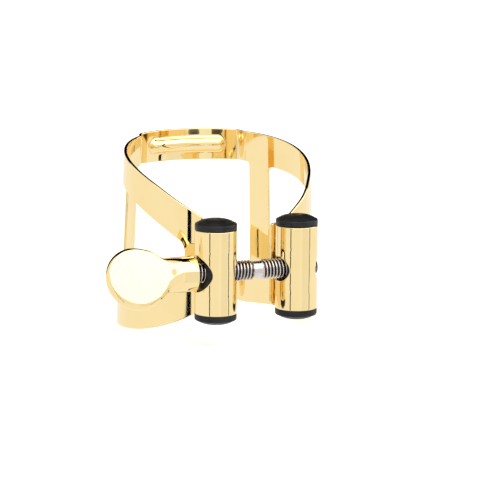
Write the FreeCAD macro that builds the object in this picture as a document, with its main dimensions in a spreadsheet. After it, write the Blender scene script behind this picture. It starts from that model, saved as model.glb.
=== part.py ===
"""Saxophone ligature, millimetres.

The origin is on the mouthpiece axis, in the plane of the band's wide end.  +Z runs along
the mouthpiece towards its tip, the clamp screw is at the front (-Y), the reed channel at
the back (+Y) and the thumb paddle on the left (-X).  Angles round the band are measured
from the back, positive towards +X.
"""
import FreeCAD, Part

import math
import os

import Sketcher

Vector = FreeCAD.Vector
Rotation = FreeCAD.Rotation
Placement = FreeCAD.Placement
ALONG_X = Vector(1, 0, 0)
ALONG_Y = Vector(0, 1, 0)
UP = Vector(0, 0, 1)

# alias, value, meaning; lengths in mm, angles in degrees
SIZES = [
    ("wide_radius", 15.15, "outside radius of the band at its wide end"),
    ("taper", 0.0462, "loss of radius per mm of height"),
    ("band_height", 27.5, "height of the band at the back"),
    ("sheet_thick", 0.45, "thickness of the sheet"),
    ("bridge_tall", 4.95, "height of each rear bridge"),
    ("reed_step", 1.2, "how far the reed channel stands out of the band"),
    ("flex_angle", 27.5, "angle of the line where the bridge flexes"),
    ("flex_gap", 0.12, "clearance between bridge and side frame at that line"),
    ("step_start", 32.0, "angle where the channel floor turns into its riser"),
    ("step_end", 39.5, "angle where the riser meets the band"),
    ("rail_start", 41.6, "angle of the rail's inner edge"),
    ("rail_end", 55.7, "angle of the rail's outer edge"),
    ("web_start", 141.0, "angle where the arms meet the front web"),
    ("web_flat", 151.0, "angle from which the web stands upright"),
    ("web_foot_level", 155.0, "angle where the web's lower edge has turned level"),
    ("web_top_level", 158.0, "angle where the web's upper edge turns level"),
    ("web_end", 167.0, "angle of the web's free end"),
    ("web_radius", 14.64, "outside radius of the upright web"),
    ("top_fall", 9.135, "fall of the top edge at the angle top_reach"),
    ("top_reach", 151.0, "angle at which top_fall is measured"),
    ("top_power", 2.6, "power of the fall along the top edge"),
    ("arm_start", 50.0, "angle where the upper arm's lower edge starts to fall"),
    ("arm_drop", 0.6, "height of that edge there below the upper bridge's lower edge"),
    ("arm_fall", 7.54, "fall of that edge at 90 degrees further round"),
    ("arm_power", 1.9, "power of that fall"),
    ("toe_start", 62.0, "angle where the bottom edge starts to rise"),
    ("toe_reach", 86.5, "angle further round at which it has risen by toe_rise"),
    ("toe_rise", 4.1, "rise of the bottom edge"),
    ("toe_power", 3.0, "power of that rise"),
    ("foot_start", 60.0, "angle where the lower arm's upper edge starts to rise"),
    ("foot_rise", 3.5, "rise of that edge at 80 degrees further round"),
    ("foot_power", 1.6, "power of that rise"),
    ("bead_radius", 1.1, "radius of the bead pressed into each bridge"),
    ("bead_angle", 20.5, "angle from the back to the centre of the bead's round end"),
    ("bead_sink", 0.1, "depth of the bead's centre line in the sheet"),
    ("bead_skin", 0.02, "distance that the bead's root keeps from the outer face"),
    ("barrel_radius", 3.07, "outside radius of a barrel"),
    ("barrel_bore", 2.65, "bore radius of a barrel"),
    ("barrel_spread", 6.25, "distance of a barrel's axis from the middle plane"),
    ("barrel_reach", 16.66, "distance of a barrel's axis in front of the band's axis"),
    ("barrel_foot", 4.9, "height of a barrel's lower end"),
    ("barrel_tall", 12.2, "length of a barrel"),
    ("collar_hole", 2.68, "radius of the hole that takes the paddle's collar"),
    ("slot_half_tall", 1.75, "half height of a screw slot"),
    ("slot_half_wide", 2.3, "half width of a screw slot"),
    ("cap_rim", 0.8, "height of a cap's straight rim"),
    ("cap_dome", 0.8, "height of a cap's dome above the rim"),
    ("cap_spigot", 2.0, "length of a cap's plug inside the barrel"),
    ("nut_radius", 2.6, "radius of a barrel nut"),
    ("nut_tall", 5.6, "height of a barrel nut"),
    ("nut_clear", 0.12, "clearance between screw and nut"),
    ("screw_height", 10.85, "height of the screw's axis"),
    ("screw_back", 0.09, "how far the screw's axis sits behind the barrel axes"),
    ("screw_radius", 1.475, "outside radius of the screw thread"),
    ("neck_radius", 1.15, "radius of the plain neck in the middle of the screw"),
    ("neck_half", 0.75, "half length of that neck"),
    ("screw_right", 9.2, "right-hand end of the screw"),
    ("screw_left", 12.2, "left-hand end of the screw, inside the paddle"),
    ("screw_bevel", 0.3, "chamfer on the screw's free end"),
    ("stem_radius", 2.5, "radius of the paddle's stem"),
    ("stem_start", 9.45, "distance from the middle plane to the stem's face"),
    ("stem_end", 12.6, "distance to where the stem starts to flatten"),
    ("blade_centre", 18.3, "distance to the centre of the paddle's blade"),
    ("blade_radius", 4.5, "radius of the blade"),
    ("blade_thick", 1.9, "thickness of the blade"),
    ("blade_drop", 0.5, "offset of the blade's centre below the screw axis"),
    ("blade_join", 15.9, "distance to where the neck enters the blade"),
    ("blade_root", 3.6, "half width of the neck there"),
    ("blade_cover", 0.01, "how far the neck's faces stay below the blade's"),
    ("blade_tilt", 57.0, "turn of the paddle about the screw, from lying flat"),
    ("solder_wide", 2.4, "width of the solder that joins a barrel to its web"),
    ("solder_deep", 0.6, "reach of the solder outwards from the web's outer face"),
]

# rough corners of a section, from which the constraints pull it into place
START_CORNERS = [(13, 1), (14, 1), (14, 9), (13, 9)]

document = FreeCAD.newDocument("ligature")
sheet = document.addObject("Spreadsheet::Sheet", "Sizes")
for line, (alias, value, meaning) in enumerate(SIZES, start=1):
    sheet.set(f"A{line}", meaning)
    sheet.set(f"B{line}", str(value))
    sheet.setAlias(f"B{line}", alias)
document.recompute()


def size(alias):
    """Number held by one cell of the sheet."""
    return float(getattr(sheet, alias))


def add(kind, name, **links):
    """New document object with the given properties."""
    made = document.addObject(kind, name)
    for key, value in links.items():
        setattr(made, key, value)
    return made


def bind(made, **expressions):
    """Bind properties to expressions; a double underscore stands for a dot."""
    for key, expression in expressions.items():
        made.setExpression(key.replace("__", "."), expression)
    return made


# ---------------------------------------------------------------- the band's edges

def cone(height):
    """Outside radius of the band at a height."""
    return f"(Sizes.wide_radius - Sizes.taper * ({height}))"


def fall(angle, start, reach, amount, power):
    """How far an edge has moved at an angle: a power law that begins at start."""
    return f"({amount} * (max({angle} - ({start}); 0) / {reach}) ^ {power})"


def top_edge(angle):
    drop = fall(abs(angle), 0, "Sizes.top_reach", "Sizes.top_fall", "Sizes.top_power")
    return f"(Sizes.band_height - {drop})"


def upper_arm_foot(angle):
    drop = fall(angle, "Sizes.arm_start", 90, "Sizes.arm_fall", "Sizes.arm_power")
    return f"(Sizes.band_height - Sizes.bridge_tall - Sizes.arm_drop - {drop})"


def lower_arm_top(angle):
    rise = fall(angle, "Sizes.foot_start", 80, "Sizes.foot_rise", "Sizes.foot_power")
    return f"(Sizes.bridge_tall + {rise})"


def bottom_edge(angle):
    return fall(abs(angle), "Sizes.toe_start", "Sizes.toe_reach", "Sizes.toe_rise",
                "Sizes.toe_power")


def web_top(angle):
    return f"max({top_edge(angle)}; Sizes.barrel_foot + Sizes.barrel_tall)"


def web_foot(angle):
    return f"min({bottom_edge(angle)}; Sizes.barrel_foot)"


# ---------------------------------------------------------------- sheet strips

def section(name, angle, low, high, radius_low, radius_high):
    """Cut through the sheet at one angle, a leaning strip from one height to another."""
    sketch = add("Sketcher::SketchObject", name)
    turn = Rotation(UP, 90 - angle) * Rotation(ALONG_X, 90)
    sketch.Placement = Placement(Vector(), turn)
    ends = zip(START_CORNERS, START_CORNERS[1:] + START_CORNERS[:1])
    sketch.addGeometry([Part.LineSegment(Vector(*a, 0), Vector(*b, 0)) for a, b in ends])
    for side in range(4):
        sketch.addConstraint(Sketcher.Constraint("Coincident", side, 2, (side + 1) % 4, 1))
    corners = [
        (f"{radius_low} - Sizes.sheet_thick", low),
        (radius_low, low),
        (radius_high, high),
        (f"{radius_high} - Sizes.sheet_thick", high),
    ]
    for side, (across, above) in enumerate(corners):
        for kind, place, start in (("DistanceX", across, 0), ("DistanceY", above, 1)):
            rule = Sketcher.Constraint(kind, -1, 1, side, 1, START_CORNERS[side][start])
            sketch.setExpression(f"Constraints[{sketch.addConstraint(rule)}]", place)
    return sketch


def strip(name, angles, low, high, step=lambda angle: "0", upright=lambda angle: 0.0):
    """Strip of the band: a loft through sections at the given angles.

    low, high and step give expressions for an angle; upright is 0 where the strip leans
    with the cone and 1 where it stands upright at the web's radius.
    """
    sections = []
    for count, angle in enumerate(angles):
        share = upright(angle)
        edges = []
        for height in (low(angle), high(angle)):
            leaning = f"{1 - share} * {cone(height)}"
            edges.append(f"{leaning} + {share} * Sizes.web_radius + {step(angle)}")
        shape = section(f"{name}_cut_{count}", angle, low(angle), high(angle), *edges)
        sections.append(shape)
    return add("Part::Loft", name, Sections=sections, Solid=True, Ruled=False)


def spread(first, last, count):
    """Evenly spaced angles from first to last."""
    return [first + (last - first) * i / (count - 1) for i in range(count)]


def ease(share):
    """Smooth step from 0 to 1."""
    share = min(max(share, 0.0), 1.0)
    return share * share * (3 - 2 * share)


def channel_step(angle):
    """Reed channel: full depth inside step_start, nothing outside step_end."""
    run = size("step_end") - size("step_start")
    return f"{1 - ease((abs(angle) - size('step_start')) / run):.6f} * Sizes.reed_step"


def half_flex_gap():
    """Half the clearance at the flex line, as an angle."""
    return math.degrees(size("flex_gap") / 2 / (size("wide_radius") + size("reed_step")))


def bridge(label, low, high, middle):
    """Rear bridge with a half-round bead pressed inwards along its middle."""
    reach = size("flex_angle") - half_flex_gap()
    plate = strip(f"{label}_plate", spread(-reach, reach, 7), low, high, channel_step)
    ring = f"{cone(middle)} + Sizes.reed_step - Sizes.sheet_thick + Sizes.bead_sink"

    def bead(name, radius):
        parts = []
        pipe = add("Part::Torus", f"{name}_pipe")
        pipe.Placement = Placement(Vector(), Rotation(UP, 90 - size("bead_angle")))
        bind(pipe, Radius1=ring, Radius2=radius, Angle3="2 * Sizes.bead_angle",
             Placement__Base__z=middle)
        parts.append(pipe)
        for sign in (-1, 1):
            ball = add("Part::Sphere", f"{name}_ball_{sign + 1}")
            bind(ball, Radius=radius, Placement__Base__z=middle,
                 Placement__Base__x=f"{sign} * ({ring}) * sin(1deg * Sizes.bead_angle)",
                 Placement__Base__y=f"({ring}) * cos(1deg * Sizes.bead_angle)")
            parts.append(ball)
        return add("Part::MultiFuse", name, Shapes=parts)

    rib = bead(f"{label}_rib", "Sizes.bead_radius")
    groove = bead(f"{label}_groove", "Sizes.bead_radius - Sizes.sheet_thick")
    inside = add("Part::Cone", f"{label}_inside")
    bind(inside, Radius1="Sizes.wide_radius + Sizes.reed_step - Sizes.bead_skin",
         Radius2=f"{cone('Sizes.band_height')} + Sizes.reed_step - Sizes.bead_skin",
         Height="Sizes.band_height")
    trimmed = add("Part::Common", f"{label}_rib_inside", Base=rib, Tool=inside)
    ribbed = add("Part::Fuse", f"{label}_ribbed", Base=plate, Tool=trimmed)
    made = add("Part::Cut", f"{label}_body", Base=ribbed, Tool=groove)
    made.Label = label
    return made


def upper_low(angle):
    return "Sizes.band_height - Sizes.bridge_tall"


def lower_high(angle):
    return "Sizes.bridge_tall"


def risers_and_rail():
    """Riser strips that carry the reed channel's bridges, and the upright rail."""
    start, stop = size("step_start"), size("step_end")
    angles = spread(size("flex_angle") + half_flex_gap(), start, 3)[:-1] + spread(start, stop, 6)
    angles.append(size("rail_start"))
    across = spread(size("rail_start"), size("rail_end"), 4)
    return {
        "upper_riser": strip("upper_riser_body", angles, upper_low, top_edge, channel_step),
        "lower_riser": strip("lower_riser_body", angles, bottom_edge, lower_high, channel_step),
        "rail": strip("rail_body", across, bottom_edge, top_edge),
    }


def web_share(angle):
    """How far the sheet has come upright between web_start and web_flat."""
    run = size("web_flat") - size("web_start")
    return round(ease((angle - size("web_start")) / run), 6)


def mirrored(source, name):
    """Left-hand copy of a right-hand piece."""
    return add("Part::Mirroring", name, Source=source, Normal=ALONG_X)


def front_web():
    """Web that joins the two arms, with the solder that holds the barrel on it."""
    angles = spread(size("web_start"), size("web_flat"), 4) + [size("web_foot_level")]
    angles += spread(size("web_top_level"), size("web_end"), 3)
    web = strip("front_web_sheet", angles, web_foot, web_top, upright=web_share)
    bearing = math.degrees(math.atan2(size("barrel_spread"), size("barrel_reach")))
    turn = Rotation(UP, bearing - 90)
    inner = size("web_radius") - size("sheet_thick") / 2
    corner = Vector(inner, -size("solder_wide") / 2, 0)
    block = add("Part::Box", "solder_block")
    block.Placement = Placement(turn.multVec(corner), turn)
    bind(block, Length="Sizes.solder_deep + Sizes.sheet_thick / 2",
         Width="Sizes.solder_wide", Height="Sizes.barrel_tall",
         Placement__Base__z="Sizes.barrel_foot")
    joined = add("Part::Fuse", "front_web_joined", Base=web, Tool=block)
    tube = add("Part::Cylinder", "solder_tube")
    bind(tube, Radius="Sizes.barrel_radius", Height="Sizes.barrel_tall",
         Placement__Base__x="Sizes.barrel_spread", Placement__Base__y="-Sizes.barrel_reach",
         Placement__Base__z="Sizes.barrel_foot")
    return add("Part::Cut", "front_web_body", Base=joined, Tool=tube)


def band_sides():
    """Risers, rails, arms and front webs of both side frames."""
    arm_angles = spread(size("rail_end"), size("web_start"), 8)
    pieces = risers_and_rail() | {
        "upper_arm": strip("upper_arm_body", arm_angles, upper_arm_foot, top_edge),
        "lower_arm": strip("lower_arm_body", arm_angles, bottom_edge, lower_arm_top),
        "front_web": front_web(),
    }
    made = []
    for name, piece in pieces.items():
        piece.Label = f"right_{name}"
        left = mirrored(piece, f"{name}_mirrored")
        left.Label = f"left_{name}"
        made += [piece, left]
    return made


# ---------------------------------------------------------------- barrels and nuts

def plane(body, role):
    """One of a body's origin planes."""
    return next(f for f in body.Origin.OriginFeatures if f.Role == role)


def new_body(label):
    body = document.addObject("PartDesign::Body", f"{label}_solid")
    body.Label = label
    return body


def sketch_on(body, role, name):
    sketch = body.newObject("Sketcher::SketchObject", name)
    sketch.AttachmentSupport = [(plane(body, role), "")]
    sketch.MapMode = "FlatFace"
    return sketch


def circle(sketch, radius, height="0"):
    """Circle on the sketch's vertical axis, its radius and height bound to expressions."""
    ring = sketch.addGeometry(Part.Circle(Vector(0.5, 0.5, 0), UP, 1.0))
    rules = (("DistanceX", "0"), ("DistanceY", height))
    for kind, place in rules:
        rule = sketch.addConstraint(Sketcher.Constraint(kind, -1, 1, ring, 3, 0.5))
        sketch.setExpression(f"Constraints[{rule}]", place)
    rule = sketch.addConstraint(Sketcher.Constraint("Radius", ring, 1.0))
    sketch.setExpression(f"Constraints[{rule}]", radius)
    return ring


def pad(body, sketch, name, length, midplane=False):
    made = body.newObject("PartDesign::Pad", name)
    made.Profile = sketch
    made.Midplane = midplane
    made.setExpression("Length", length)
    return made


def side_pocket(body, sketch, name, towards_plus_x):
    """Cut one wall of an upright tube, outwards from its axis."""
    document.recompute()
    before = body.Shape.Volume
    made = body.newObject("PartDesign::Pocket", name)
    made.Profile = sketch
    made.Reversed = towards_plus_x
    made.setExpression("Length", "2 * Sizes.barrel_radius")
    document.recompute()
    if body.Shape.Volume > before - 0.5:
        raise RuntimeError(f"{name} cut nothing")


def slot(sketch):
    """Screw slot with round ends, wide along the sketch's X."""
    tall = size("slot_half_tall")
    reach = size("slot_half_wide") - tall
    middle = size("screw_height") - size("barrel_foot")
    for sign in (-1, 1):
        sketch.addGeometry(Part.Arc(Vector(sign * reach, middle + sign * tall, 0),
                                    Vector(sign * (reach + tall), middle, 0),
                                    Vector(sign * reach, middle - sign * tall, 0)))
        sketch.addGeometry(Part.LineSegment(Vector(-reach, middle + sign * tall, 0),
                                            Vector(reach, middle + sign * tall, 0)))


def barrel(side, name):
    """Upright tube; its outer wall takes the collar or the screw's end."""
    body = new_body(f"{name}_barrel")
    ring = sketch_on(body, "XY_Plane", f"{name}_barrel_ring")
    circle(ring, "Sizes.barrel_radius")
    circle(ring, "Sizes.barrel_bore")
    pad(body, ring, f"{name}_barrel_tube", "Sizes.barrel_tall")
    middle = "Sizes.screw_height - Sizes.barrel_foot"
    inner = sketch_on(body, "YZ_Plane", f"{name}_inner_slot")
    slot(inner)
    side_pocket(body, inner, f"{name}_inner_cut", side < 0)
    outer = sketch_on(body, "YZ_Plane", f"{name}_outer_hole")
    if side < 0:
        circle(outer, "Sizes.collar_hole", middle)
    else:
        slot(outer)
    side_pocket(body, outer, f"{name}_outer_cut", side > 0)
    bind(body, Placement__Base__x=f"{side} * Sizes.barrel_spread",
         Placement__Base__y="-Sizes.barrel_reach", Placement__Base__z="Sizes.barrel_foot")
    return body


def cap(side, name, top):
    """Domed plastic cap with a plug that fills the end of the barrel's bore."""
    end = "top" if top else "bottom"
    body = new_body(f"{name}_{end}_cap")
    rim, dome, spigot = size("cap_rim"), size("cap_dome"), size("cap_spigot")
    outer, bore = size("barrel_radius"), size("barrel_bore")
    ball = (outer ** 2 + dome ** 2) / (2 * dome)
    half = math.asin(outer / ball) / 2
    middle = Vector(ball * math.sin(half), rim + dome - ball * (1 - math.cos(half)), 0)
    corners = [Vector(*c, 0) for c in ((0, rim + dome), (0, -spigot), (bore, -spigot),
                                       (bore, 0), (outer, 0), (outer, rim))]
    profile = sketch_on(body, "XZ_Plane", f"{name}_{end}_profile")
    lines = [Part.LineSegment(a, b) for a, b in zip(corners, corners[1:])]
    profile.addGeometry(lines + [Part.Arc(corners[-1], middle, corners[0])])
    turned = body.newObject("PartDesign::Revolution", f"{name}_{end}_turned")
    turned.Profile = profile
    turned.ReferenceAxis = (profile, ["V_Axis"])
    turned.Angle = 360
    if not top:
        body.Placement = Placement(Vector(), Rotation(ALONG_X, 180))
    height = "Sizes.barrel_foot + Sizes.barrel_tall" if top else "Sizes.barrel_foot"
    bind(body, Placement__Base__x=f"{side} * Sizes.barrel_spread",
         Placement__Base__y="-Sizes.barrel_reach", Placement__Base__z=height)
    return body


def nut(side, name):
    """Round nut that turns in the barrel and carries one hand of the thread."""
    body = new_body(f"{name}_barrel_nut")
    disc = sketch_on(body, "XY_Plane", f"{name}_nut_disc")
    circle(disc, "Sizes.nut_radius")
    pad(body, disc, f"{name}_nut_block", "Sizes.nut_tall", midplane=True)
    hole = sketch_on(body, "YZ_Plane", f"{name}_nut_hole")
    circle(hole, "Sizes.screw_radius + Sizes.nut_clear")
    document.recompute()
    before = body.Shape.Volume
    bore = body.newObject("PartDesign::Pocket", f"{name}_nut_bore")
    bore.Profile = hole
    bore.Type = 1
    bore.Midplane = True
    document.recompute()
    if body.Shape.Volume > before - 5:
        raise RuntimeError(f"{name}_nut_bore cut nothing")
    bind(body, Placement__Base__x=f"{side} * Sizes.barrel_spread",
         Placement__Base__y="-Sizes.barrel_reach", Placement__Base__z="Sizes.screw_height")
    return body


# ---------------------------------------------------------------- screw and paddle

def screw():
    """Steel screw: left-hand and right-hand thread either side of a plain neck."""
    body = new_body("clamp_screw")
    radius, neck, half = size("screw_radius"), size("neck_radius"), size("neck_half")
    left, right, bevel = size("screw_left"), size("screw_right"), size("screw_bevel")
    outline = [(-left, 0), (-left, radius), (-half, radius), (-half, neck), (half, neck),
               (half, radius), (right - bevel, radius), (right, radius - bevel), (right, 0)]
    points = [Vector(*p, 0) for p in outline]
    profile = sketch_on(body, "XY_Plane", "screw_profile")
    profile.addGeometry([Part.LineSegment(a, b)
                         for a, b in zip(points, points[1:] + points[:1])])
    turned = body.newObject("PartDesign::Revolution", "screw_turned")
    turned.Profile = profile
    turned.ReferenceAxis = (profile, ["H_Axis"])
    turned.Angle = 360
    bind(body, Placement__Base__y="Sizes.screw_back - Sizes.barrel_reach",
         Placement__Base__z="Sizes.screw_height")
    return body


def paddle():
    """Thumb paddle: round stem that flattens into a round blade."""
    stem = add("Part::Cylinder", "paddle_stem")
    stem.Placement = Placement(Vector(), Rotation(ALONG_Y, 90))
    bind(stem, Radius="Sizes.stem_radius", Height="Sizes.stem_end - Sizes.stem_start",
         Placement__Base__x="-Sizes.stem_end")
    blade = add("Part::Cylinder", "paddle_blade")
    bind(blade, Radius="Sizes.blade_radius", Height="Sizes.blade_thick",
         Placement__Base__x="-Sizes.blade_centre", Placement__Base__y="-Sizes.blade_drop",
         Placement__Base__z="-Sizes.blade_thick / 2")
    ends = []
    stations = (("stem_end", "Sizes.stem_radius", "Sizes.stem_radius", "0"),
                ("blade_join", "Sizes.blade_root",
                 "Sizes.blade_thick / 2 - Sizes.blade_cover", "-Sizes.blade_drop"))
    for place, wide, thick, offset in stations:
        ring = add("Part::Ellipse", f"paddle_{place}")
        ring.Placement = Placement(Vector(), Rotation(UP, 90) * Rotation(ALONG_X, 90))
        bind(ring, MajorRadius=wide, MinorRadius=thick,
             Placement__Base__x=f"-Sizes.{place}", Placement__Base__y=offset)
        ends.append(ring)
    neck = add("Part::Loft", "paddle_neck", Sections=ends, Solid=True, Ruled=False)
    whole = add("Part::MultiFuse", "paddle_whole", Shapes=[stem, neck, blade])
    bore = add("Part::Cylinder", "paddle_bore")
    bore.Placement = Placement(Vector(), Rotation(ALONG_Y, 90))
    bind(bore, Radius="Sizes.screw_radius", Height="Sizes.screw_left",
         Placement__Base__x="-Sizes.screw_left")
    made = add("Part::Cut", "paddle_body", Base=whole, Tool=bore)
    made.Label = "thumb_paddle"
    made.Placement = Placement(Vector(), Rotation(ALONG_X, size("blade_tilt")))
    bind(made, Placement__Base__y="Sizes.screw_back - Sizes.barrel_reach",
         Placement__Base__z="Sizes.screw_height")
    return made


# ---------------------------------------------------------------- build, check, write

def build():
    nodes = [
        bridge("upper_bridge", upper_low, top_edge,
               "Sizes.band_height - Sizes.bridge_tall / 2"),
        bridge("lower_bridge", bottom_edge, lower_high, "Sizes.bridge_tall / 2"),
    ]
    nodes += band_sides()
    for side, name in ((-1, "left"), (1, "right")):
        nodes += [barrel(side, name), cap(side, name, True), cap(side, name, False),
                  nut(side, name)]
    return nodes + [screw(), paddle()]


def check(nodes):
    """Stop on a failed object or on a node that is not one sound solid."""
    for item in document.Objects:
        if {"Invalid", "Error"} & set(item.State):
            raise RuntimeError(f"{item.Label}: {item.State}")
    for item in nodes:
        shape = item.Shape
        if shape.isNull() or not shape.isValid() or len(shape.Solids) != 1:
            raise RuntimeError(f"{item.Label}: {len(shape.Solids)} solids, valid {shape.isValid()}")


nodes = build()
document.recompute()
check(nodes)
os.makedirs("parts", exist_ok=True)
for item in nodes:
    item.Shape.exportStep(f"parts/{item.Label}.step")
    print(f"{item.Label:20s} {item.Shape.Volume:9.2f} mm3")
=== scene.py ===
"""Saxophone ligature: the looks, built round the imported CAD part.

Metres in the row frame.  Shape numbers are written in millimetres and scaled by MM.
Angles round the band are measured from the back (+Y), positive towards +X.
"""

import math

import bmesh
import bpy
from mathutils import Matrix, Vector


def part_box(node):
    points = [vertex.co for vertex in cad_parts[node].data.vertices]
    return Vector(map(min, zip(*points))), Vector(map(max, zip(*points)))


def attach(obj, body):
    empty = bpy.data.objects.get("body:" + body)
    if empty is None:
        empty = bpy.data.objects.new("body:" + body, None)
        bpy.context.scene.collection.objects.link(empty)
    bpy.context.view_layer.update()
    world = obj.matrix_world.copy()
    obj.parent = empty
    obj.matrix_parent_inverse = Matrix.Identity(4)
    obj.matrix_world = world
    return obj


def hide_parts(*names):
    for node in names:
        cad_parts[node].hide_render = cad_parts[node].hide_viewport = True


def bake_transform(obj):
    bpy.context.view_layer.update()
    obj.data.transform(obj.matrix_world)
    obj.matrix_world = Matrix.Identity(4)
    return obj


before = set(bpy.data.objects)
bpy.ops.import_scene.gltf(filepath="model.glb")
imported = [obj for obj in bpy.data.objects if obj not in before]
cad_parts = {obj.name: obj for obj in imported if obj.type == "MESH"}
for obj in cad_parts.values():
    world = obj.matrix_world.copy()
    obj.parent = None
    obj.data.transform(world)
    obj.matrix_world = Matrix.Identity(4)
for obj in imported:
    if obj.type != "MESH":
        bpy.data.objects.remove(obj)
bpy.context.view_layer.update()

MM = 0.001
SIDES = {"left": -1, "right": 1}

# ------------------------------------------------------------------ the band's shape, mm
WIDE_RADIUS = 15.15
TAPER = 0.0462
SHEET = 0.45
BAND_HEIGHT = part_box("upper_bridge")[1].z / MM
BRIDGE_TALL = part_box("lower_bridge")[1].z / MM
REED_STEP = 1.2
BRIDGE_LEAN = 0.028           # extra lean of the upper bridge towards the axis
STEP_START, STEP_END = 32.0, 39.5
RAIL_START, RAIL_END = 41.6, 55.7
WEB_START, WEB_END = 141.0, 167.0
UPRIGHT_FROM, UPRIGHT_TO = 120.0, 143.0
WEB_RADIUS = 14.64
WEB_SPLIT = (9.4, 12.9)       # heights at the web's free end where its three blocks meet
# Edges that leave a level with growing angle: start, reach, amount, power.
TOP_FALL = (0, 151, 9.135, 2.6)
BOTTOM_RISE = (62, 86.5, 4.1, 3.0)
UPPER_FOOT_FALL = (50, 90, 7.54, 1.9)
LOWER_TOP_RISE = (60, 80, 3.5, 1.6)
ARM_DROP = 0.6                # how much lower than the bridge the upper arm's foot starts
EDGE_ROUND = 0.11
FLAT_RADIUS = 14.5            # radius at which an angle is unrolled into a length
DEGREE = math.radians(1) * FLAT_RADIUS
BEAD_ANGLE = 20.5             # angle of the centre of a bead's round end
BEAD_REACH = 3                # beyond this distance from its centre line a bead is over
RIB_RADIUS, RIB_SINK = 1.1, 0.1
GROOVE_RADIUS, GROOVE_SINK = 0.65, -0.35
BEAD_KNEE = 0.9               # share of a bead's radius where its side turns straight
BEAD_BLEND = 0.1
BEAD_TRIM = BEAD_BLEND / 30   # taken off the depth, so that the blend comes to an end

BARREL_RADIUS, BARREL_BORE = 3.07, 2.65
barrel_low, barrel_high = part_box("right_barrel")
BARREL_X = (barrel_low.x + barrel_high.x) / 2 / MM
BARREL_Y = (barrel_low.y + barrel_high.y) / 2 / MM
BARREL_FOOT, BARREL_TOP = barrel_low.z / MM, barrel_high.z / MM
screw_low, screw_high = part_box("clamp_screw")
SCREW_Y = (screw_low.y + screw_high.y) / 2 / MM
SCREW_Z = (screw_low.z + screw_high.z) / 2 / MM


def ease(share):
    """Smooth step from 0 to 1."""
    share = min(max(share, 0.0), 1.0)
    return share * share * (3 - 2 * share)


def power_fall(angle, start, reach, amount, power):
    """Amount that grows as a power of the angle past its start."""
    return amount * (max(angle - start, 0.0) / reach) ** power


def top_edge(angle):
    level = BAND_HEIGHT - power_fall(angle, *TOP_FALL)
    return max(level, BARREL_TOP) if angle > WEB_START else level


def bottom_edge(angle):
    level = power_fall(angle, *BOTTOM_RISE)
    return min(level, BARREL_FOOT) if angle > WEB_START else level


def upper_arm_foot(angle):
    return BAND_HEIGHT - BRIDGE_TALL - ARM_DROP - power_fall(angle, *UPPER_FOOT_FALL)


def lower_arm_top(angle):
    return BRIDGE_TALL + power_fall(angle, *LOWER_TOP_RISE)


def sheet_radius(angle, height):
    """Outside radius of the sheet, without its beads."""
    upright = ease((angle - UPRIGHT_FROM) / (UPRIGHT_TO - UPRIGHT_FROM))
    leaning = WIDE_RADIUS - TAPER * height
    step = 1 - ease((angle - STEP_START) / (STEP_END - STEP_START))
    lean = -BRIDGE_LEAN * step * max(height - BAND_HEIGHT + BRIDGE_TALL, 0.0)
    return (1 - upright) * leaning + upright * WEB_RADIUS + REED_STEP * step + lean


def smooth_max(a, b, blend):
    """Larger of two numbers, rounded off where they are alike."""
    return (a + b + math.sqrt((a - b) ** 2 + blend ** 2)) / 2


def bead(angle, height, radius, sink):
    """Depth pressed inwards at a point, for a half-round of the given radius."""
    across = min(abs(height - BRIDGE_TALL / 2), abs(height - BAND_HEIGHT + BRIDGE_TALL / 2))
    along = math.radians(max(angle - BEAD_ANGLE, 0.0)) * (WIDE_RADIUS + REED_STEP)
    away = math.hypot(across, along)
    if away >= BEAD_REACH:
        return 0.0
    knee = BEAD_KNEE * radius
    root = math.sqrt(radius ** 2 - min(away, knee) ** 2)
    level = root - max(away - knee, 0.0) * knee / root - sink
    return max(smooth_max(level, 0.0, BEAD_BLEND) - BEAD_TRIM, 0.0)


# ------------------------------------------------------------------ mesh helpers

def mesh_object(name, vertices, faces, smooth=True):
    """Object from vertices in millimetres; normals are made to point outwards."""
    mesh = bpy.data.meshes.new(name)
    mesh.from_pydata([Vector(v) * MM for v in vertices], [], faces)
    built = bmesh.new()
    built.from_mesh(mesh)
    bmesh.ops.recalc_face_normals(built, faces=built.faces)
    if built.calc_volume(signed=True) < 0:
        bmesh.ops.reverse_faces(built, faces=built.faces)
    built.to_mesh(mesh)
    built.free()
    mesh.polygons.foreach_set("use_smooth", [smooth] * len(mesh.polygons))
    made = bpy.data.objects.new(name, mesh)
    bpy.context.scene.collection.objects.link(made)
    return made


def sharpen(piece, degrees):
    """Shade smooth, with hard edges where faces meet at more than the angle."""
    piece.data.set_sharp_from_angle(angle=math.radians(degrees))


MITRE_LEAST = 0.6             # smallest cosine by which a corner's inset is divided


def edge_profile(thick, bevel, parts=3):
    """(inset, depth) pairs that carry a sheet's rounded edge from outer to inner face."""
    steps = [math.pi / 2 * k / parts for k in range(parts + 1)]
    outer = [(bevel * (1 - math.sin(t)), bevel * (1 - math.cos(t))) for t in steps]
    inner = [(bevel * (1 - math.cos(t)), thick - bevel * (1 - math.sin(t))) for t in steps]
    return outer + inner


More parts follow.
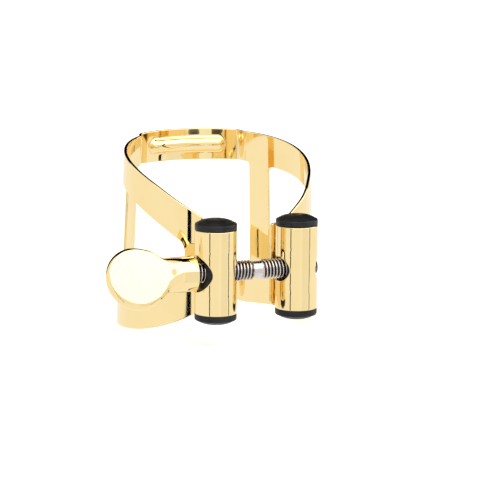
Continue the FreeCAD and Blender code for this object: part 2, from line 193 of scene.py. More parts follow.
def shell(name, points, faces, thick, place, bevel, period=None, on_seam=lambda p: False):
    """Closed sheet over a flat quad mesh, with rounded edges.

    points are (along, height, extra); place(along, height, extra, depth) gives a vertex.
    Edges whose two ends lie on the seam are closed flat, without rounding.
    """
    owned = {(a, b) for f in faces for a, b in zip(f, f[1:] + f[:1])}
    rim = sorted((a, b) for a, b in owned if (b, a) not in owned)
    normals, spans = {}, []
    for a, b in rim:
        if on_seam(points[a]) and on_seam(points[b]):
            continue
        run, rise = points[b][0] - points[a][0], points[b][1] - points[a][1]
        if period and abs(run) > period / 2:
            run -= math.copysign(period, run)
        normal = Vector((rise, -run)).normalized()
        spans.append((a, b))
        for end in (a, b):
            normals.setdefault(end, []).append(normal)
    profile = edge_profile(thick, bevel)
    count = len(points)
    vertices = [None] * (2 * count)
    for i, (along, height, extra) in enumerate(points):
        if i not in normals:
            vertices[i] = place(along, height, extra, 0.0)
            vertices[count + i] = place(along, height, extra, thick)
    loops = {}
    for i, found in normals.items():
        mean = sum(found, Vector((0, 0))).normalized()
        mean /= max(mean.dot(found[0]), MITRE_LEAST)
        along, height, extra = points[i]
        loop = [place(along - mean.x * inset, height - mean.y * inset, extra, depth)
                for inset, depth in profile]
        vertices[i], vertices[count + i] = loop[0], loop[-1]
        start = len(vertices)
        vertices += loop[1:-1]
        loops[i] = [i, *range(start, start + len(loop) - 2), count + i]
    solid = [list(f) for f in faces] + [[count + v for v in reversed(f)] for f in faces]
    for a, b in spans:
        for k in range(len(profile) - 1):
            solid.append([loops[b][k], loops[a][k], loops[a][k + 1], loops[b][k + 1]])
    for a, b in rim:
        if on_seam(points[a]) and on_seam(points[b]):
            solid.append([b, a, count + a, count + b])
            if b in loops:
                solid.append(list(reversed(loops[b])))
            if a in loops:
                solid.append(list(loops[a]))
    return mesh_object(name, vertices, solid)


def ring_faces(rings):
    """Faces between neighbouring rings of vertices; a ring of one vertex is a pole."""
    faces = []
    for low, high in zip(rings, rings[1:]):
        count = max(len(low), len(high))
        for k in range(count):
            n = (k + 1) % count
            if len(low) == 1:
                faces.append([low[0], high[n], high[k]])
            elif len(high) == 1:
                faces.append([low[k], low[n], high[0]])
            else:
                faces.append([low[k], low[n], high[n], high[k]])
    return faces


def lathe(name, profile, segments, axis="Z"):
    """Closed turned solid from (radius, height) points that start and end on the axis."""
    vertices, rings = [], []
    for radius, height in profile:
        if radius < 1e-6:
            rings.append([len(vertices)])
            vertices.append((0, 0, height))
            continue
        rings.append(list(range(len(vertices), len(vertices) + segments)))
        for k in range(segments):
            turn = 2 * math.pi * k / segments
            vertices.append((radius * math.cos(turn), radius * math.sin(turn), height))
    if axis == "X":
        vertices = [(z, x, y) for x, y, z in vertices]
    return mesh_object(name, vertices, ring_faces(rings))


def arc(centre, radius, first, last, count):
    """Points of an arc in a lathe profile; angles in degrees from outwards to up."""
    return [(centre[0] + radius * math.cos(math.radians(a)),
             centre[1] + radius * math.sin(math.radians(a)))
            for a in spread(first, last, count)]


def spread(first, last, count):
    """Evenly spaced values, both ends included."""
    return [first + (last - first) * k / count for k in range(count + 1)]


def towards(first, last, count, dense_at_first):
    """Values from first to last, crowded at one end as round a quarter circle."""
    shares = [math.sin(math.pi / 2 * k / count) for k in range(count + 1)]
    if dense_at_first:
        shares = [1 - s for s in reversed(shares)]
    return [first + (last - first) * s for s in shares]


# ------------------------------------------------------------------ materials

MIX_FIRST, MIX_SECOND, MIX_RESULT = 6, 7, 2   # colour sockets of the Mix node


def node(tree, kind, **values):
    """New shader node; each value goes to the socket of its name, or else the property."""
    made = tree.nodes.new(kind)
    for key, value in values.items():
        if key in made.inputs:
            made.inputs[key].default_value = value
        else:
            setattr(made, key, value)
    return made


def material(name, colour, metallic, **constants):
    """Principled material; returns it with its tree, shader and object coordinates."""
    made = bpy.data.materials.new(name)
    made.use_nodes = True
    tree = made.node_tree
    shader = tree.nodes["Principled BSDF"]
    shader.inputs["Base Color"].default_value = (*colour, 1)
    shader.inputs["Metallic"].default_value = metallic
    for key, value in constants.items():
        shader.inputs[key.replace("_", " ")].default_value = value
    place = tree.nodes.new("ShaderNodeTexCoord")
    return made, tree, shader, place.outputs["Object"]


def noise(tree, where, scale, detail=3.0, stretch=None):
    """Noise at a place, with its scale multiplied along each axis by stretch."""
    if stretch:
        mapping = node(tree, "ShaderNodeMapping")
        mapping.inputs["Scale"].default_value = stretch
        tree.links.new(where, mapping.inputs["Vector"])
        where = mapping.outputs["Vector"]
    made = node(tree, "ShaderNodeTexNoise", Scale=scale, Detail=detail)
    tree.links.new(where, made.inputs["Vector"])
    return made.outputs["Fac"]


def remap(tree, value, low, high, start=0.35, stop=0.65):
    """Value carried from the range start to stop into the range low to high."""
    made = node(tree, "ShaderNodeMapRange")
    for key, number in zip(("From Min", "From Max", "To Min", "To Max"),
                           (start, stop, low, high)):
        made.inputs[key].default_value = number
    tree.links.new(value, made.inputs["Value"])
    return made.outputs["Result"]


def blend_colour(tree, share, first, second):
    """Colour that goes from the first to the second as the share goes from 0 to 1."""
    made = node(tree, "ShaderNodeMix", data_type="RGBA")
    made.inputs[MIX_FIRST].default_value = (*first, 1)
    made.inputs[MIX_SECOND].default_value = (*second, 1)
    tree.links.new(share, made.inputs["Factor"])
    return made.outputs[MIX_RESULT]


def bump(tree, height, strength, distance, below=None):
    """Normal for a height, on top of the bump below it if there is one."""
    made = node(tree, "ShaderNodeBump", Strength=strength, Distance=distance)
    tree.links.new(height, made.inputs["Height"])
    if below:
        tree.links.new(below, made.inputs["Normal"])
    return made.outputs["Normal"]


def math_node(tree, operation, *values):
    made = node(tree, "ShaderNodeMath", operation=operation)
    for value, socket in zip(values, made.inputs):
        tree.links.new(value, socket)
    return made.outputs[0]


def polished_gold():
    """Mirror plating: faint tone drift, hairline scratches and rubbed edges."""
    made, tree, shader, where = material("gold_plate", (0.955, 0.755, 0.39), 1.0)
    tone = remap(tree, noise(tree, where, 160), 0, 1)
    colour = blend_colour(tree, tone, (0.965, 0.775, 0.41), (0.95, 0.745, 0.375))
    tree.links.new(colour, shader.inputs["Base Color"])
    cloud = remap(tree, noise(tree, where, 420, 5.0), 0.035, 0.06)
    hairs = remap(tree, noise(tree, where, 900, 4.0, (1, 1, 14)), 0.0, 0.03, 0.55, 0.75)
    rough = math_node(tree, "ADD", cloud, hairs)
    worn = remap(tree, tree.nodes.new("ShaderNodeNewGeometry").outputs["Pointiness"],
                 0.0, 0.06, 0.52, 0.6)
    tree.links.new(math_node(tree, "ADD", rough, worn), shader.inputs["Roughness"])
    ripple = bump(tree, noise(tree, where, 240, 1.0), 0.05, 0.00002)
    tree.links.new(bump(tree, noise(tree, where, 2600, 3.0, (1, 1, 9)), 0.04, 0.000004, ripple),
                   shader.inputs["Normal"])
    return made


def black_plastic():
    """Satin moulded black: fine grain and a soft sheen."""
    made, tree, shader, where = material("cap_plastic", (0.012, 0.012, 0.013), 0.0,
                                         Specular_IOR_Level=0.2)
    tone = remap(tree, noise(tree, where, 900, 4.0), 0, 1)
    colour = blend_colour(tree, tone, (0.010, 0.010, 0.011), (0.018, 0.018, 0.019))
    tree.links.new(colour, shader.inputs["Base Color"])
    tree.links.new(remap(tree, noise(tree, where, 1500, 4.0), 0.34, 0.46),
                   shader.inputs["Roughness"])
    tree.links.new(bump(tree, noise(tree, where, 9000, 2.0), 0.18, 0.00002),
                   shader.inputs["Normal"])
    return made


def painted_thread_shade_mask(tree, where):
    """Mask of the painted shade: 1 in the thread's roots, 0 on its crests and on the plain neck.
    """
    parts = tree.nodes.new("ShaderNodeSeparateXYZ")
    tree.links.new(where, parts.inputs[0])
    flat = node(tree, "ShaderNodeCombineXYZ")
    tree.links.new(parts.outputs["Y"], flat.inputs["Y"])
    tree.links.new(parts.outputs["Z"], flat.inputs["Z"])
    reach = node(tree, "ShaderNodeVectorMath", operation="DISTANCE")
    reach.inputs[1].default_value = (0, SCREW_Y * MM, SCREW_Z * MM)
    tree.links.new(flat.outputs[0], reach.inputs[0])
    deep = remap(tree, reach.outputs["Value"], 1.0, 0.0, 0.00118, 0.00140)
    side = math_node(tree, "ABSOLUTE", parts.outputs["X"])
    threaded = remap(tree, side, 0.0, 1.0, 0.0007, 0.0010)
    return math_node(tree, "MULTIPLY", deep, threaded)


def turned_steel():
    """Bright turned steel with tool rings round the screw's axis, and painted shade that darkens
    the thread roots.
    """
    made, tree, shader, where = material("screw_steel", (0.62, 0.58, 0.56), 1.0,
                                         Anisotropic=0.3)
    tone = remap(tree, noise(tree, where, 700, 4.0), 0, 1)
    colour = blend_colour(tree, tone, (0.80, 0.75, 0.73), (0.66, 0.61, 0.59))
    # Painted shade: the steel's colour is mixed to near-black in the thread roots.
    dark = node(tree, "ShaderNodeMix", data_type="RGBA")
    dark.inputs[MIX_SECOND].default_value = (0.05, 0.045, 0.045, 1)
    tree.links.new(colour, dark.inputs[MIX_FIRST])
    tree.links.new(painted_thread_shade_mask(tree, where), dark.inputs["Factor"])
    tree.links.new(dark.outputs[MIX_RESULT], shader.inputs["Base Color"])
    rings = noise(tree, where, 2200, 2.0, (9, 1, 1))
    tree.links.new(remap(tree, rings, 0.16, 0.32), shader.inputs["Roughness"])
    tree.links.new(bump(tree, rings, 0.12, 0.000006), shader.inputs["Normal"])
    return made


def dark_nut():
    """Near-black, partly metallic nut with faint turning marks."""
    made, tree, shader, where = material("nut_black", (0.02, 0.02, 0.021), 0.6)
    tone = remap(tree, noise(tree, where, 1200, 4.0), 0, 1)
    colour = blend_colour(tree, tone, (0.014, 0.014, 0.015), (0.03, 0.028, 0.026))
    tree.links.new(colour, shader.inputs["Base Color"])
    marks = noise(tree, where, 2400, 3.0, (1, 1, 8))
    tree.links.new(remap(tree, marks, 0.35, 0.55), shader.inputs["Roughness"])
    tree.links.new(bump(tree, marks, 0.15, 0.00001), shader.inputs["Normal"])
    return made


def pale_floor():
    """Plain near-white floor."""
    made, tree, shader, where = material("pale_floor", (0.9, 0.9, 0.9), 0.0,
                                         Specular_IOR_Level=0.1, Emission_Strength=0.42)
    shader.inputs["Emission Color"].default_value = (1, 1, 1, 1)
    tree.links.new(remap(tree, noise(tree, where, 30), 0.75, 0.85), shader.inputs["Roughness"])
    return made


gold, plastic, steel, nut_dark = polished_gold(), black_plastic(), turned_steel(), dark_nut()


def finish_piece(piece, look, slot, *nodes):
    """Material and the CAD nodes that the piece stands for, which are hidden; slot is not used.
    """
    piece.data.materials.clear()
    piece.data.materials.append(look)
    if nodes:
        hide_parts(*nodes)
    return piece


# ------------------------------------------------------------------ band

REAR_CORNER, WINDOW_CORNER, FRONT_CORNER, END_CORNER = 0.55, 0.9, 0.9, 0.5
STRIP_ROWS, MIDDLE_ROWS = 36, 16


def round_in(distance, radius):
    """How far a rounded corner has still to go at a distance from the corner's side."""
    if distance >= radius:
        return 0.0
    return radius - math.sqrt(max(radius ** 2 - (radius - distance) ** 2, 0.0))


def band_columns():
    """Angles of the open back, the rail, the open arms and the web, out from the middle."""
    rear = RAIL_START - REAR_CORNER / DEGREE
    near = RAIL_END + WINDOW_CORNER / DEGREE
    far = WEB_START - FRONT_CORNER / DEGREE
    tail = WEB_END - END_CORNER / DEGREE
    open_back = [0.0, 0.1] + spread(1.0, 20.0, 19)[:-1] + spread(20.0, 26.0, 24)[:-1]
    open_back += spread(26.0, 31.0, 5)[:-1] + spread(31.0, rear, 16)[:-1]
    open_back += towards(rear, RAIL_START, 8, False)
    rail = spread(RAIL_START, RAIL_END, 14)
    arms = towards(RAIL_END, near, 8, True)[:-1] + spread(near, far, 64)[:-1]
    arms += towards(far, WEB_START, 8, False)
    web = spread(WEB_START, tail, 24)[:-1] + towards(tail, WEB_END, 7, False)
    return open_back, rail, arms, web


def window_edges(angle):
    """Heights where the lower strip ends and the upper strip starts."""
    low, high = BRIDGE_TALL, BAND_HEIGHT - BRIDGE_TALL
    if angle < RAIL_START:
        corner = round_in((RAIL_START - angle) * DEGREE, REAR_CORNER)
        return low + corner, high - corner
    if angle <= RAIL_END:
        share = (angle - RAIL_START) / (RAIL_END - RAIL_START)
        first = (low + REAR_CORNER, high - REAR_CORNER)
        last = (lower_arm_top(RAIL_END) + WINDOW_CORNER, upper_arm_foot(RAIL_END) - WINDOW_CORNER)
        return tuple(a + (b - a) * share for a, b in zip(first, last))
    if angle <= WEB_START:
        corner = round_in((angle - RAIL_END) * DEGREE, WINDOW_CORNER)
        corner += round_in((WEB_START - angle) * DEGREE, FRONT_CORNER)
        return lower_arm_top(angle) + corner, upper_arm_foot(angle) - corner
    share = (angle - WEB_START) / (WEB_END - WEB_START)
    first = (lower_arm_top(WEB_START) + FRONT_CORNER, upper_arm_foot(WEB_START) - FRONT_CORNER)
    return tuple(a + (b - a) * share for a, b in zip(first, WEB_SPLIT))


def band_grid():
    """Flat quad mesh of half the band, with its windows open."""
    open_back, rail, arms, web = band_columns()
    points, faces = [], []
    previous, previous_whole = None, False
    runs = ((open_back, False), (rail[1:-1], True), (arms, False), (web[1:], True))
    for angles, whole in runs:
        for angle in angles:
            solid = whole or angle in (RAIL_START, RAIL_END, WEB_START)
            foot, top = bottom_edge(angle), top_edge(angle)
            corner = round_in((WEB_END - angle) * DEGREE, END_CORNER)
            foot, top = foot + corner, top - corner
            low, high = window_edges(angle)
            lower, upper = spread(foot, low, STRIP_ROWS), spread(high, top, STRIP_ROWS)
            middle = spread(low, high, MIDDLE_ROWS)[1:-1] if solid else []
            start = len(points)
            points += [(angle * DEGREE, z, 0) for z in lower + middle + upper]
            rows = list(range(start, len(points)))
            column = (rows[:len(lower)], rows[len(lower):-len(upper)], rows[-len(upper):])
            if previous:
                pairs = [(previous[0], column[0]), (previous[2], column[2])]
                if previous[1] and column[1] and (whole or previous_whole):
                    join = [[c[0][-1], *c[1], c[2][0]] for c in (previous, column)]
                    pairs.append(tuple(join))
                for a, b in pairs:
                    for k in range(len(a) - 1):
                        faces.append([a[k], b[k], b[k + 1], a[k + 1]])
            previous, previous_whole = column, whole
    return points, faces


def band_half(side):
    """One half of the band, from the bridges to that side's frame."""
    sign = SIDES[side]

    def place(along, height, _, depth):
        angle = along / DEGREE
        share = depth / SHEET
        pressed = (1 - share) * bead(angle, height, GROOVE_RADIUS, GROOVE_SINK)
        pressed += share * bead(angle, height, RIB_RADIUS, RIB_SINK)
        radius = sheet_radius(angle, height) - depth - pressed
        turn = math.radians(angle)
        return (sign * radius * math.sin(turn), radius * math.cos(turn), height)

    points, faces = band_grid()
    piece = shell(f"band_{side}", points, faces, SHEET, place, EDGE_ROUND,
                  on_seam=lambda p: p[0] < 1e-9)
    names = ("upper_riser", "lower_riser", "rail", "upper_arm", "lower_arm", "front_web")
    finish_piece(piece, gold, "gold_plate", "upper_bridge", "lower_bridge",
                 *[f"{side}_{n}" for n in names])
    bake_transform(piece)
    return piece


# ------------------------------------------------------------------ barrels, caps, nuts

BARREL_COLUMNS, BARREL_ROWS = 96, 60
PATCH_COLUMNS, PATCH_ROWS = 20, 16        # half size of the grid patch round a hole
PATCH_RINGS = (0.75, 0.52, 0.32, 0.15, 0.0)   # from the patch's border in to the hole
SLOT_SHIFT = 0.15                         # share of the turn in which a slot is straight
SLOT_WIDE, SLOT_TALL, COLLAR_HOLE = 2.3, 1.75, 2.68
HOLE_ROUND = 0.09


def outline(kind, turn):
    """(across, above) of a hole's outline, seen along X."""
    if kind == "round":
        return COLLAR_HOLE * math.cos(turn), COLLAR_HOLE * math.sin(turn)
    shift = max(-1.0, min(1.0, math.cos(turn) / SLOT_SHIFT)) * (SLOT_WIDE - SLOT_TALL)
    return SLOT_TALL * math.cos(turn) + shift, SLOT_TALL * math.sin(turn)


def barrel(side):
    """Upright tube whose two walls are pierced along X, with rounded hole edges."""
    sign = SIDES[side]
    tall = BARREL_TOP - BARREL_FOOT
    middle_row = round((SCREW_Z - BARREL_FOOT) / tall * BARREL_ROWS)
    kinds = {0: "slot", BARREL_COLUMNS // 2: "round" if side == "left" else "slot"}
    step = 2 * math.pi / BARREL_COLUMNS
    points, faces, grid = [], [], {}

    def at(column, row):
        key = (column % BARREL_COLUMNS, row)
        if key not in grid:
            grid[key] = len(points)
            height = row * tall / BARREL_ROWS
            points.append((key[0] * step * BARREL_RADIUS, height, (0.0, 0.0)))
        return grid[key]

    def in_patch(column, row):
        for centre in kinds:
            offset = (column - centre + BARREL_COLUMNS / 2) % BARREL_COLUMNS - BARREL_COLUMNS / 2
            if -PATCH_COLUMNS <= offset < PATCH_COLUMNS and \
                    -PATCH_ROWS <= row - middle_row < PATCH_ROWS:
                return True
        return False

    for column in range(BARREL_COLUMNS):
        for row in range(BARREL_ROWS):
            if not in_patch(column, row):
                faces.append([at(column, row), at(column + 1, row),
                              at(column + 1, row + 1), at(column, row + 1)])
    for centre, kind in kinds.items():
        border = [(c, -PATCH_ROWS) for c in range(-PATCH_COLUMNS, PATCH_COLUMNS)]
        border += [(PATCH_COLUMNS, r) for r in range(-PATCH_ROWS, PATCH_ROWS)]
        border += [(c, PATCH_ROWS) for c in range(PATCH_COLUMNS, -PATCH_COLUMNS, -1)]
        border += [(-PATCH_COLUMNS, r) for r in range(PATCH_ROWS, -PATCH_ROWS, -1)]
        rings = [[at(centre + c, middle_row + r) for c, r in border]]
        base = centre * step * BARREL_RADIUS
        for share in PATCH_RINGS:
            ring = []
            for c, r in border:
                turn = math.atan2(r / PATCH_ROWS, c / PATCH_COLUMNS)
                across, above = outline(kind, turn)
                inner = (math.asin(across / BARREL_RADIUS) * BARREL_RADIUS,
                         SCREW_Z - BARREL_FOOT + above)
                outer = (c * step * BARREL_RADIUS, (middle_row + r) * tall / BARREL_ROWS)
                along, height = (i + (o - i) * share for i, o in zip(inner, outer))
                ring.append(len(points))
                points.append((base + along, height, (1 - share, base)))
            rings.append(ring)
        for far, near in zip(rings, rings[1:]):
            for k in range(len(border)):
                n = (k + 1) % len(border)
                faces.append([far[k], far[n], near[n], near[k]])

    def place(along, height, extra, depth):
        share, base = extra
        radius = BARREL_RADIUS - depth
        turn = (along - base) / BARREL_RADIUS
        if share:
            across = max(-1.0, min(1.0, BARREL_RADIUS * math.sin(turn) / radius))
            turn += share * (math.asin(across) - turn)
        turn += base / BARREL_RADIUS
        return (sign * BARREL_X + radius * math.cos(turn), BARREL_Y + radius * math.sin(turn),
                BARREL_FOOT + height)

    piece = shell(f"{side}_barrel_tube", points, faces, BARREL_RADIUS - BARREL_BORE, place,
                  HOLE_ROUND, period=2 * math.pi * BARREL_RADIUS)
    sharpen(piece, 60)
    finish_piece(piece, gold, "gold_plate", f"{side}_barrel")
    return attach(piece, f"{side}_frame")


CAP_DOME, DOME_POWER = 0.8, 3.1
CAP_INSET, CAP_ROUND, CAP_FOOT_ROUND = 0.01, 0.22, 0.1
CAP_SEAT, CAP_FLARE = 0.015, 0.02
CAP_AROUND, DOME_RINGS, DOME_SHARE = 96, 16, 0.97
PLUG_LONG, PLUG_RADIUS, PLUG_ROUND = 1.98, 2.6, 0.15


def cap(side, end):
    """Domed plastic cap: rounded rim and a plug inside the barrel."""
    low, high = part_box(f"{side}_{end}_cap")
    rise = (high.z / MM - BARREL_TOP) if end == "top" else (BARREL_FOOT - low.z / MM)

    def dome(radius):
        return rise - CAP_INSET - CAP_DOME * (radius / BARREL_RADIUS) ** DOME_POWER

    shoulder = BARREL_RADIUS - CAP_INSET - CAP_ROUND
    level = dome(shoulder) - CAP_ROUND
    tip, foot = PLUG_RADIUS - PLUG_ROUND, BARREL_RADIUS - CAP_INSET - CAP_FOOT_ROUND
    profile = [(0, -PLUG_LONG), (tip, -PLUG_LONG)]
    profile += arc((tip, PLUG_ROUND - PLUG_LONG), PLUG_ROUND, -90, 0, 3)
    profile += [(PLUG_RADIUS, -CAP_FLARE), (PLUG_RADIUS + CAP_FLARE, CAP_SEAT)]
    profile += arc((foot, CAP_SEAT + CAP_FOOT_ROUND), CAP_FOOT_ROUND, -90, 0, 4)
    profile += arc((shoulder, level), CAP_ROUND, 0, 86, 9)
    for k in range(1, DOME_RINGS):
        radius = shoulder * DOME_SHARE * (1 - k / DOME_RINGS)
        profile.append((radius, dome(radius)))
    profile.append((0, dome(0)))
    piece = lathe(f"{side}_{end}_cap_dome", profile, CAP_AROUND)
    sharpen(piece, 50)
    upright = Matrix.Identity(4) if end == "top" else Matrix.Rotation(math.pi, 4, "X")
    height = (BARREL_TOP if end == "top" else BARREL_FOOT) * MM
    centre = (low + high) / 2
    piece.data.transform(Matrix.Translation((centre.x, centre.y, height)) @ upright)
    finish_piece(piece, plastic, "cap_plastic", f"{side}_{end}_cap")
    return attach(piece, f"{side}_frame")


NUT_RADIUS, NUT_BEVEL, NUT_AROUND = 2.6, 0.25, 72
# Half of the boring tool: (radius, distance from the middle), from its end inwards.
BORE_TOOL, BORE_AROUND = [(0, 4), (2.5, 4), (1.95, 2.35), (1.6, 2.0)], 48


def nut(side):
    """Round nut with bevelled ends and a countersunk cross bore for the screw."""
    low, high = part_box(f"{side}_barrel_nut")
    half, flat = (high.z - low.z) / 2 / MM, NUT_RADIUS - NUT_BEVEL
    profile = [(0, -half), (flat, -half)]
    profile += [(NUT_RADIUS, z) for z in spread(NUT_BEVEL - half, half - NUT_BEVEL, 8)]
    profile += [(flat, half), (0, half)]
    piece = lathe(f"{side}_nut_body", profile, NUT_AROUND)
    tool = lathe("nut_tool", [(r, -x) for r, x in BORE_TOOL] + BORE_TOOL[::-1],
                 BORE_AROUND, axis="X")
    cut = piece.modifiers.new("bore", "BOOLEAN")
    cut.operation, cut.solver, cut.object = "DIFFERENCE", "EXACT", tool
    bpy.context.view_layer.update()
    evaluated = piece.evaluated_get(bpy.context.evaluated_depsgraph_get())
    mesh = bpy.data.meshes.new_from_object(evaluated)
    piece.modifiers.clear()
    piece.data = mesh
    bpy.data.objects.remove(tool)
    sharpen(piece, 30)
    piece.data.transform(Matrix.Translation((low + high) / 2))
    finish_piece(piece, nut_dark, "cap_plastic", f"{side}_barrel_nut")
    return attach(piece, f"{side}_nut")


SOLDER_HALF, SOLDER_SKIN, SOLDER_HOLLOW = 1.15, 0.03, 0.16
SOLDER_END = 0.8              # share of the width that is left at its two ends
SOLDER_WAVE, WAVE_RATE = 0.02, 3.1


def solder(side):
    """Fillet of plated solder between the barrel and the web, hollow at its sides."""
    sign = SIDES[side]
    reach = math.hypot(BARREL_X, BARREL_Y)
    outward = Vector((sign * BARREL_X, BARREL_Y, 0)) / reach
    sideways = Vector((-outward.y, outward.x, 0))

    def web_face(t):
        return math.sqrt(WEB_RADIUS ** 2 - t ** 2) - SOLDER_SKIN

    def tube_face(t):
        return reach - math.sqrt(BARREL_RADIUS ** 2 - t ** 2) + SOLDER_SKIN

    across = spread(-SOLDER_HALF, SOLDER_HALF, 12)
    ring = [(t, web_face(t)) for t in across]
    levels = spread(web_face(SOLDER_HALF), tube_face(SOLDER_HALF), 6)[1:-1]
    flank = [(SOLDER_HALF - SOLDER_HOLLOW * math.sin(math.pi * k / 6), r)
             for k, r in enumerate(levels, 1)]
    ring += flank + [(t, tube_face(t)) for t in reversed(across)]
    ring += [(-t, r) for t, r in reversed(flank)]
    heights = [(BARREL_FOOT + 0.05, SOLDER_END), (BARREL_FOOT + 0.15, 1.0)]
    heights += [(z, 1.0 + SOLDER_WAVE * math.sin(WAVE_RATE * z)) for z in
                spread(BARREL_FOOT + 0.5, BARREL_TOP - 0.5, 24)]
    heights += [(BARREL_TOP - 0.15, 1.0), (BARREL_TOP - 0.05, SOLDER_END)]
    vertices = []
    for height, scale in heights:
        for t, r in ring:
            point = outward * r + sideways * (t * scale)
            vertices.append((point.x, point.y, height))
    size = len(ring)
    rings = [list(range(k * size, (k + 1) * size)) for k in range(len(heights))]
    faces = ring_faces(rings) + [rings[0], rings[-1]]
    piece = mesh_object(f"{side}_solder_fillet", vertices, faces)
    sharpen(piece, 50)
    finish_piece(piece, gold, "gold_plate")
    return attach(piece, f"{side}_frame")


# ------------------------------------------------------------------ screw and paddle

PITCH, ROWS_PER_PITCH, SCREW_AROUND = 0.5, 12, 56
SCREW_BEVEL = 0.35
STEM_INSIDE = 9.6             # the screw's drawn start, just inside the paddle's stem
THREAD_RADIUS, ROOT_RADIUS, NECK_RADIUS, NECK_HALF = 1.475, 1.13, 1.25, 0.6
FLANK_FROM, FLANK_SPAN = 0.3, 0.5   # shares of half a pitch: root, then rising flank
RUN_OUT = 0.3                 # length over which the thread rises from the neck


def thread_radius(x, turn):
    """Radius of the two-handed thread: left-hand on the left, right-hand on the right."""
    hand = 1 if x > 0 else -1
    phase = (x / PITCH - hand * turn / (2 * math.pi)) % 1.0
    flank = abs(phase - 0.5) * 2
    shape = ease((flank - FLANK_FROM) / FLANK_SPAN)
    run_out = ease((abs(x) - NECK_HALF) / RUN_OUT)
    radius = ROOT_RADIUS + (THREAD_RADIUS - ROOT_RADIUS) * shape
    return NECK_RADIUS + (radius - NECK_RADIUS) * run_out


def screw():
    """Steel screw with two threads, a plain neck and a bevelled free end."""
    first, last = -STEM_INSIDE, screw_high.x / MM
    vertices, rings = [(first, SCREW_Y, SCREW_Z)], [[0]]
    for x in spread(first, last, round((last - first) / (PITCH / ROWS_PER_PITCH))):
        limit = THREAD_RADIUS - max(0.0, x - (last - SCREW_BEVEL))
        rings.append(list(range(len(vertices), len(vertices) + SCREW_AROUND)))
        for k in range(SCREW_AROUND):
            turn = 2 * math.pi * k / SCREW_AROUND
            radius = min(thread_radius(x, turn), limit)
            vertices.append((x, SCREW_Y + radius * math.cos(turn),
                             SCREW_Z + radius * math.sin(turn)))
    rings.append([len(vertices)])
    vertices.append((last, SCREW_Y, SCREW_Z))
    piece = mesh_object("clamp_screw_thread", vertices, ring_faces(rings))
    sharpen(piece, 75)
    finish_piece(piece, steel, "screw_steel", "clamp_screw")
    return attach(piece, "thumb_screw")


STEM_RADIUS, STEM_START = 2.5, 9.45
STEM_ROUND = ((0.02, 0.955), (0.06, 0.985))   # (distance from the stem's end, share of size)
STEM_FULL = 0.14              # distance from the end where the stem has its whole size
BLADE_CENTRE, BLADE_RADIUS, BLADE_HALF, BLADE_DROP = 18.3, 4.49, 0.95, -0.3
BLADE_STRETCH = 1.05         # the disc is slightly taller than it is long
BLADE_EDGE, EDGE_POWER = 0.7, 2.0
FLATTEN_FROM, FLATTEN_TO = 11.6, 16.4
DROP_FROM = 12.6              # from here the blade's middle leaves the screw's axis
NECK_REACH, NECK_BLEND, NECK_TRIM = 1.5, 1.1, 0.03
PADDLE_ROWS, TIP_ROWS, PADDLE_AROUND = 44, 26, 88
BLADE_TILT = 57.0


def paddle_half_width(reach):
    """Half width at a distance from the middle plane: stem, hollow neck, then the disc."""
    disc = BLADE_STRETCH * math.sqrt(max(BLADE_RADIUS ** 2 - (reach - BLADE_CENTRE) ** 2, 0.0))
    if reach > BLADE_CENTRE - NECK_REACH:
        return disc
    away = ease((BLADE_CENTRE - NECK_REACH - reach) / NECK_REACH)
    return disc + away * (smooth_max(disc, STEM_RADIUS - NECK_TRIM, NECK_BLEND) - disc)


def paddle_height(reach, across, wide):
    """Half thickness: round at the stem, flat with a rolled edge on the disc."""
    share = min(abs(across) / wide, 1.0) if wide > 0 else 1.0
    flat = ease((reach - FLATTEN_FROM) / (FLATTEN_TO - FLATTEN_FROM))
    crown = STEM_RADIUS + (BLADE_HALF - STEM_RADIUS) * flat
    rounded = crown * math.sqrt(1 - share ** 2)
    inset = wide - abs(across)
    if reach > BLADE_CENTRE:
        inset = BLADE_RADIUS - math.hypot(reach - BLADE_CENTRE, across / BLADE_STRETCH)
    inside = min(max(inset / BLADE_EDGE, 0.0), 1.0)
    rolled = BLADE_HALF * (1 - (1 - inside) ** EDGE_POWER) ** (1 / EDGE_POWER)
    return (1 - flat) * rounded + flat * rolled


def paddle():
    """Thumb paddle: round stem that flattens into a disc, tilted about the screw."""
    stations = [STEM_START + distance for distance, _ in STEM_ROUND]
    stations += spread(STEM_START + STEM_FULL, BLADE_CENTRE, PADDLE_ROWS)
    stations += [BLADE_CENTRE + BLADE_RADIUS * math.sin(math.radians(t))
                 for t in spread(0, 87, TIP_ROWS)[1:]]
    shares = [math.sin(math.pi / 2 * t) for t in spread(1, -1, PADDLE_AROUND // 2)]
    vertices, rings = [(-STEM_START, 0, 0)], [[0]]
    for k, reach in enumerate(stations):
        wide = paddle_half_width(reach)
        shrink = STEM_ROUND[k][1] if k < len(STEM_ROUND) else 1.0
        drop = BLADE_DROP * ease((reach - DROP_FROM) / (BLADE_CENTRE - DROP_FROM))
        upper = []
        for share in shares:
            level = paddle_height(reach, share * wide, wide)
            upper.append((-reach, drop + share * wide * shrink, level * shrink))
        lower = [(x, y, -z) for x, y, z in reversed(upper[1:-1])]
        rings.append(list(range(len(vertices), len(vertices) + len(upper) + len(lower))))
        vertices += upper + lower
    rings.append([len(vertices)])
    vertices.append((-BLADE_CENTRE - BLADE_RADIUS, BLADE_DROP, 0))
    piece = mesh_object("thumb_paddle_blade", vertices, ring_faces(rings))
    sharpen(piece, 60)
    turn = Matrix.Rotation(math.radians(BLADE_TILT), 4, "X")
    piece.data.transform(Matrix.Translation((0, SCREW_Y * MM, SCREW_Z * MM)) @ turn)
    finish_piece(piece, gold, "gold_plate", "thumb_paddle")
    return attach(piece, "thumb_screw")


for side in SIDES:
    band_half(side)
    barrel(side)
    solder(side)
    nut(side)
    for end in ("top", "bottom"):
        cap(side, end)
screw()
paddle()

# ------------------------------------------------------------------ camera

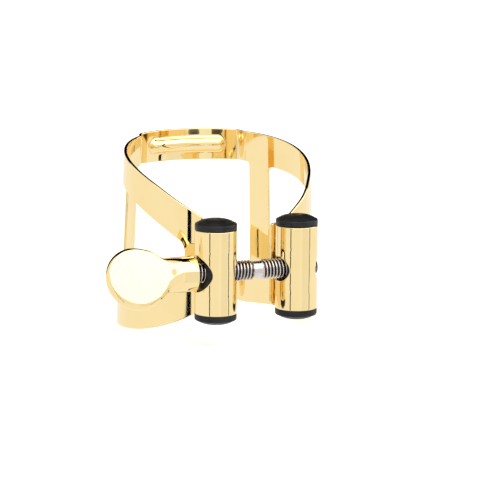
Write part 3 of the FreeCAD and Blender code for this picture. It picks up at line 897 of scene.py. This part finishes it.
AZIMUTH, ELEVATION, ROLL = math.radians(-20.284), math.radians(10.083), math.radians(0.308)
DISTANCE = 365.94 * MM
AIM = Vector((0, 0, 13 * MM))
away = Vector((math.sin(AZIMUTH) * math.cos(ELEVATION),
               -math.cos(AZIMUTH) * math.cos(ELEVATION), math.sin(ELEVATION)))
level = Vector((math.cos(AZIMUTH), math.sin(AZIMUTH), 0))
raised = away.cross(level)
right = level * math.cos(ROLL) + raised * math.sin(ROLL)
up = away.cross(right)
lens = bpy.data.cameras.new("camera")
lens.sensor_width, lens.lens = 36.0, 174.6
lens.shift_x, lens.shift_y = 0.0669, -0.0282
lens.clip_start, lens.clip_end = 0.01, 50
camera = bpy.data.objects.new("camera", lens)
camera.matrix_world = Matrix.Translation(AIM + away * DISTANCE) @ Matrix(
    (right, up, away)).transposed().to_4x4()
bpy.context.scene.collection.objects.link(camera)
bpy.context.scene.camera = camera

# ------------------------------------------------------------------ studio

scene = bpy.context.scene
scene.view_settings.view_transform = "Standard"
world = bpy.data.worlds.new("studio")
world.use_nodes = True
world.node_tree.nodes["Background"].inputs["Color"].default_value = (1, 1, 1, 1)
world.node_tree.nodes["Background"].inputs["Strength"].default_value = 1.0
scene.world = world


def compass(azimuth, elevation, distance):
    """Point round the object; azimuth 0 is in front (-Y), positive towards +X."""
    a, e = math.radians(azimuth), math.radians(elevation)
    return Vector((math.sin(a) * math.cos(e), -math.cos(a) * math.cos(e), math.sin(e))) \
        * distance + AIM


def softbox(name, azimuth, elevation, distance, width, height, power):
    """Soft lamp aimed at the object; mirrors and the camera do not see it."""
    light = bpy.data.lights.new(name, "AREA")
    light.shape, light.size, light.size_y, light.energy = "RECTANGLE", width, height, power
    made = bpy.data.objects.new(name, light)
    made.location = compass(azimuth, elevation, distance)
    made.rotation_euler = (made.location - AIM).to_track_quat("Z", "Y").to_euler()
    made.visible_camera = made.visible_glossy = False
    bpy.context.scene.collection.objects.link(made)
    return made


def studio_card(name, vertices, faces, brightness):
    """Studio card that only polished surfaces see."""
    mesh = bpy.data.meshes.new(name)
    mesh.from_pydata(vertices, [], faces)
    made = bpy.data.objects.new(name, mesh)
    look = bpy.data.materials.new(name)
    look.use_nodes = True
    look.node_tree.nodes.clear()
    glow = look.node_tree.nodes.new("ShaderNodeEmission")
    glow.inputs["Color"].default_value = (1, 1, 1, 1)
    glow.inputs["Strength"].default_value = brightness
    out = look.node_tree.nodes.new("ShaderNodeOutputMaterial")
    look.node_tree.links.new(glow.outputs[0], out.inputs["Surface"])
    mesh.materials.append(look)
    bpy.context.scene.collection.objects.link(made)
    for ray in ("camera", "diffuse", "shadow", "transmission", "volume_scatter"):
        setattr(made, f"visible_{ray}", False)
    return made


CARD_COLUMNS, CARD_ROWS = 12, 6


def panel(name, azimuths, elevations, distance, brightness):
    """Curved card given by its azimuths and elevations."""
    vertices = [compass(a, e, distance) for e in spread(*elevations, CARD_ROWS)
                for a in spread(*azimuths, CARD_COLUMNS)]
    wide = CARD_COLUMNS + 1
    faces = [[r * wide + c, r * wide + c + 1, (r + 1) * wide + c + 1, (r + 1) * wide + c]
             for r in range(CARD_ROWS) for c in range(CARD_COLUMNS)]
    return studio_card(name, vertices, faces, brightness)


def reflector(name, across, angles, distance, brightness):
    """Curved card whose straight edges lie along X, from front low to overhead."""
    vertices = [AIM + Vector((x, -distance * math.cos(math.radians(a)),
                              distance * math.sin(math.radians(a))))
                for a in spread(*angles, CARD_COLUMNS) for x in across]
    faces = [[2 * k, 2 * k + 1, 2 * k + 3, 2 * k + 2] for k in range(CARD_COLUMNS)]
    return studio_card(name, vertices, faces, brightness)


softbox("key", 32, 50, 0.5, 0.34, 0.34, 0.6)
reflector("overhead", (-0.5, 6.0), (26, 90), 0.6, 2.3)
panel("end", (78, 104), (4, 60), 0.85, 2.3)
panel("gap_left", (-54.5, -49.5), (-40, 22), 0.7, 0.0)
panel("gap_right", (51.5, 55.5), (-40, 22), 0.7, 0.0)
panel("front_left", (-44, -6), (-40, 22), 0.75, 0.98)
panel("front_right", (10, 44), (-40, 22), 0.75, 0.93)
panel("dark_back", (105, 215), (2, 80), 0.8, 0.0)

FLOOR_HALF = 4000
floor = mesh_object("floor", [(-FLOOR_HALF, -FLOOR_HALF, 0), (FLOOR_HALF, -FLOOR_HALF, 0),
                              (FLOOR_HALF, FLOOR_HALF, 0), (-FLOOR_HALF, FLOOR_HALF, 0)],
                    [[0, 1, 2, 3]], smooth=False)
floor.data.materials.append(pale_floor())
floor.location.z = -0.01 * MM
floor.visible_glossy = False
